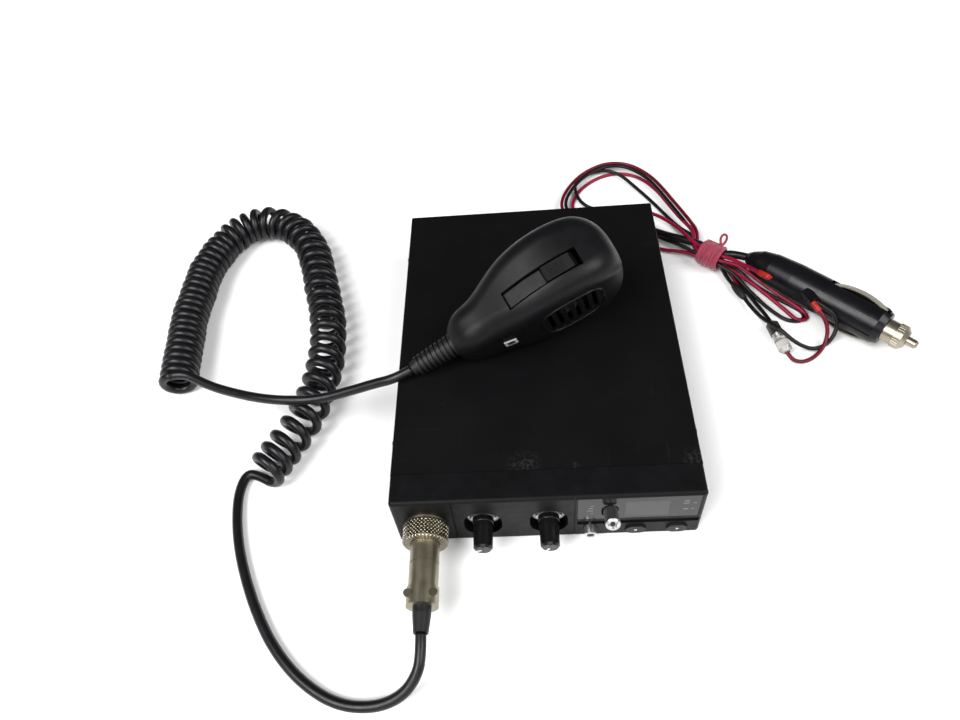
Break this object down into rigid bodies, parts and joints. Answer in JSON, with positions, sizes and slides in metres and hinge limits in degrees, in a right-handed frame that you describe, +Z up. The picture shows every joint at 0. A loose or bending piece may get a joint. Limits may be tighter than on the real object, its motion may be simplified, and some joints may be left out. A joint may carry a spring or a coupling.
{
  "type": "mobile transceiver",
  "caption": "Compact mobile radio transceiver with front controls, a hand microphone on a curly cord, and a tied power lead with inline fuse holder and lighter plug.",
  "frame": {"origin": "middle of the case's underside, on the surface it stands on", "axes": "+X to the right along the front panel, +Y from the front panel to the rear panel, +Z up"},
  "size_m": [0.4114, 0.3434, 0.1],
  "materials": {
    "case_paint": "satin black paint",
    "frame_steel": "zinc plated",
    "bezel_plastic": "satin black moulding",
    "knob_plastic": "polished black",
    "smoked_window": "smoked acrylic",
    "display_glass": "liquid crystal",
    "circuit_board": "resist coated laminate",
    "screw_steel": "plated",
    "brass_insert": "turned",
    "nickel": "satin nickel",
    "bright_chrome": "polished",
    "pale_washer": "matt",
    "pot_metal": "stamped",
    "key_plastic": "dark grey moulding",
    "switch_plastic": "black",
    "speaker_steel": "plated",
    "paper": "paper cone",
    "soft_rubber": "matt black",
    "mic_wire": "satin black jacket",
    "lead_red": "red insulation",
    "lead_black": "black insulation",
    "tie_cord": "twisted cord",
    "mic_shell": "fine textured black",
    "talk_bar": "black, dotted grip",
    "capsule_metal": "stamped",
    "holder_plastic": "dark brown",
    "holder_clear": "clear",
    "plug_plastic": "black moulding",
    "plug_nickel": "nickel plated",
    "spring_steel": "rolled"
  },
  "bodies": {
    "case": {"chassis_frame": "frame_steel", "rear_panel": "case_paint", "top_cover": "case_paint", "bottom_cover": "case_paint", "case_screws": "screw_steel", "bracket_inserts": "brass_insert", "main_board": "circuit_board", "front_board": "circuit_board", "speaker_basket": "speaker_steel", "speaker_cone": "paper", "antenna_socket": "nickel", "antenna_contact": "brass_insert", "accessory_jacks": "nickel", "lead_grommet": "soft_rubber", "front_bezel": "bezel_plastic", "display_window": "smoked_window", "display_module": "display_glass", "mode_switch": "switch_plastic", "tact_switches": "switch_plastic", "control_pots": "pot_metal", "pot_nuts": "pale_washer", "mic_socket": "nickel", "mic_plug_barrel": "nickel", "mic_plug_clamp": "nickel", "mic_clamp_screws": "screw_steel", "mic_plug_sleeve": "soft_rubber", "mic_cord_lead": "mic_wire", "mic_cord_coil": "mic_wire", "mic_cord_tail": "mic_wire", "power_lead_exit": "lead_black", "power_lead_hank": "lead_red", "lead_tie": "tie_cord", "spare_lead": "lead_red", "fuse_feed_lead": "lead_red", "fuse_plug_lead": "lead_red", "black_lead_loop": "lead_black", "fuse_holder_body": "holder_plastic", "fuse_holder_cap": "holder_clear", "plug_body": "plug_plastic"},
    "volume_control": {"volume_knob": "knob_plastic", "volume_shaft": "frame_steel"},
    "squelch_control": {"squelch_knob": "knob_plastic", "squelch_shaft": "frame_steel"},
    "mode_lever": {"mode_lever": "bright_chrome"},
    "push_button": {"push_button": "bright_chrome"},
    "channel_up_button": {"channel_up_button": "key_plastic"},
    "channel_down_button": {"channel_down_button": "key_plastic"},
    "mic_plug_ring": {"mic_plug_ring": "nickel"},
    "handset": {"mic_front_shell": "mic_shell", "mic_rear_shell": "mic_shell", "ptt_switch": "switch_plastic", "mic_capsule": "capsule_metal", "hanger_stud": "nickel", "mic_shell_screws": "screw_steel", "mic_strain_relief": "soft_rubber"},
    "ptt_bar": {"ptt_bar": "talk_bar"},
    "plug_nose": {"plug_nose": "plug_nickel"},
    "plug_tip": {"plug_tip": "plug_nickel"},
    "plug_contact_upper": {"plug_contact_upper": "spring_steel"},
    "plug_contact_lower": {"plug_contact_lower": "spring_steel"}
  },
  "joints": [
    {"name": "volume_turn", "type": "hinge", "parent": "case", "child": "volume_control", "pos_m": [-0.0292, -0.094, 0.0155], "axis": [0, 1, 0], "range_deg": [-150, 150]},
    {"name": "squelch_turn", "type": "hinge", "parent": "case", "child": "squelch_control", "pos_m": [0.0009, -0.094, 0.0155], "axis": [0, 1, 0], "range_deg": [-150, 150]},
    {"name": "mode_lever_tip", "type": "hinge", "parent": "case", "child": "mode_lever", "pos_m": [0.0282, -0.0885, 0.0238], "axis": [1, 0, 0], "range_deg": [0, 48]},
    {"name": "push_button_press", "type": "slide", "parent": "case", "child": "push_button", "axis": [0, 1, 0], "range_m": [0, 0.0007], "stiffness_N_per_m": 500},
    {"name": "channel_up_press", "type": "slide", "parent": "case", "child": "channel_up_button", "axis": [0, 1, 0], "range_m": [0, 0.0007], "stiffness_N_per_m": 500},
    {"name": "channel_down_press", "type": "slide", "parent": "case", "child": "channel_down_button", "axis": [0, 1, 0], "range_m": [0, 0.0007], "stiffness_N_per_m": 500},
    {"name": "mic_ring_turn", "type": "hinge", "parent": "case", "child": "mic_plug_ring", "pos_m": [-0.0553, -0.1, 0.0175], "axis": [0, 1, 0], "range_deg": [-360, 0]},
    {"name": "handset_lift", "type": "slide", "parent": "case", "child": "handset", "axis": [0, 0, 1], "range_m": [0, 0.06]},
    {"name": "talk_bar_press", "type": "hinge", "parent": "handset", "child": "ptt_bar", "pos_m": [-0.01106, -0.01325, 0.07813], "axis": [-0.4416, 0.8433, 0.3063], "range_deg": [0, 3.2], "stiffness_Nm_per_rad": 1},
    {"name": "plug_nose_turn", "type": "hinge", "parent": "case", "child": "plug_nose", "pos_m": [0.18589, 0.00911, 0.0122], "axis": [0.7071, -0.7071, 0], "range_deg": [0, 360]},
    {"name": "plug_tip_press", "type": "slide", "parent": "plug_nose", "child": "plug_tip", "axis": [-0.7071, 0.7071, 0], "range_m": [0, 0.0025], "stiffness_N_per_m": 1500},
    {"name": "plug_contact_upper_press", "type": "slide", "parent": "case", "child": "plug_contact_upper", "axis": [-0.3536, -0.3536, -0.866], "range_m": [0, 0.0012], "stiffness_N_per_m": 1500},
    {"name": "plug_contact_lower_press", "type": "slide", "parent": "case", "child": "plug_contact_lower", "axis": [0.3536, 0.3536, 0.866], "range_m": [0, 0.0012], "stiffness_N_per_m": 1500}
  ]
}
